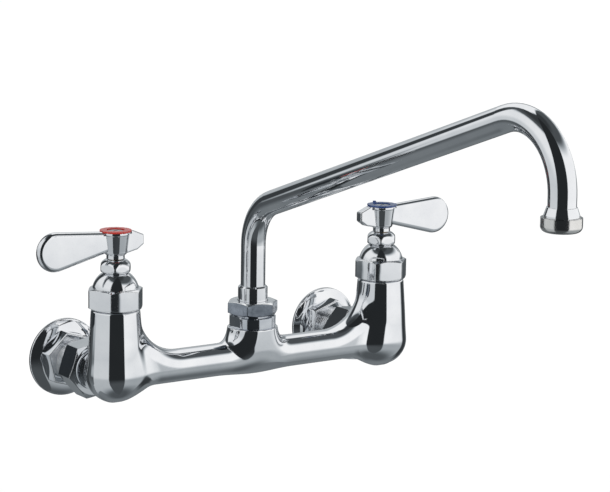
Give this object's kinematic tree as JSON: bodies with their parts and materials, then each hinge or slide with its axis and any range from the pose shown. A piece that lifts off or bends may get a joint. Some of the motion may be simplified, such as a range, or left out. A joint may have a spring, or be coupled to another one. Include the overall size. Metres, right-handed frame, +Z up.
{
  "type": "faucet",
  "caption": "Wall-mounted commercial sink faucet with lever valves on a crossbar, a rising swivel spout with a turned-down outlet, and flanged inlets.",
  "frame": {"origin": "on the wall face, midway between the two inlet axes", "axes": "+X towards the cold valve, +Y into the wall, +Z up; at rest the spout points along -Y and the levers point outwards"},
  "size_m": [0.3128, 0.3843, 0.2215],
  "materials": {
    "cast_chrome": "mirror chrome over a polished casting",
    "tube_chrome": "mirror chrome over drawn tube",
    "fitting_chrome": "mirror chrome over turned brass",
    "handle_chrome": "mirror chrome over a die casting",
    "screw_steel": "plain stainless steel",
    "red_index": "red gloss plastic",
    "blue_index": "blue gloss plastic",
    "brass": "turned brass, unplated",
    "ceramic": "lapped white ceramic",
    "rubber": "black rubber",
    "white_plastic": "white low-friction plastic",
    "satin_nickel": "satin plating, slightly warm",
    "grey_plastic": "grey plastic"
  },
  "bodies": {
    "valve_body": {"cold_cap_nut": "fitting_chrome", "cold_cartridge_body": "brass", "cold_cartridge_oring": "rubber", "cold_coupling_nut": "fitting_chrome", "cold_fixed_disc": "ceramic", "cold_inlet_washer": "rubber", "cold_packing_nut": "fitting_chrome", "cold_packing_ring": "white_plastic", "cold_seat_seal": "rubber", "cold_snap_ring": "screw_steel", "cold_wall_flange": "fitting_chrome", "faucet_body": "cast_chrome", "hot_cap_nut": "fitting_chrome", "hot_cartridge_body": "brass", "hot_cartridge_oring": "rubber", "hot_coupling_nut": "fitting_chrome", "hot_fixed_disc": "ceramic", "hot_inlet_washer": "rubber", "hot_packing_nut": "fitting_chrome", "hot_packing_ring": "white_plastic", "hot_seat_seal": "rubber", "hot_snap_ring": "screw_steel", "hot_wall_flange": "fitting_chrome", "spout_nut": "fitting_chrome", "swivel_adapter": "fitting_chrome", "thrust_ring": "white_plastic"},
    "spout": {"aerator_housing": "satin_nickel", "aerator_insert": "grey_plastic", "aerator_washer": "rubber", "outlet_nozzle": "fitting_chrome", "spout_ferrule": "fitting_chrome", "spout_lower_oring": "rubber", "spout_tube": "tube_chrome", "spout_upper_oring": "rubber"},
    "hot_lever": {"hot_moving_disc": "ceramic", "hot_stem": "brass", "hot_lever_handle": "handle_chrome", "hot_index_ring": "red_index", "hot_handle_screw": "screw_steel"},
    "cold_lever": {"cold_moving_disc": "ceramic", "cold_stem": "brass", "cold_lever_handle": "handle_chrome", "cold_index_ring": "blue_index", "cold_handle_screw": "screw_steel"}
  },
  "joints": [
    {"name": "spout_swivel", "type": "hinge", "parent": "valve_body", "child": "spout", "pos_m": [0, -0.068, 0], "axis": [0, 0, 1], "range_deg": [-98, 98]},
    {"name": "hot_valve", "type": "hinge", "parent": "valve_body", "child": "hot_lever", "pos_m": [-0.1016, -0.068, 0], "axis": [0, 0, 1], "range_deg": [0, 90]},
    {"name": "cold_valve", "type": "hinge", "parent": "valve_body", "child": "cold_lever", "pos_m": [0.1016, -0.068, 0], "axis": [0, 0, 1], "range_deg": [-90, 0]}
  ]
}
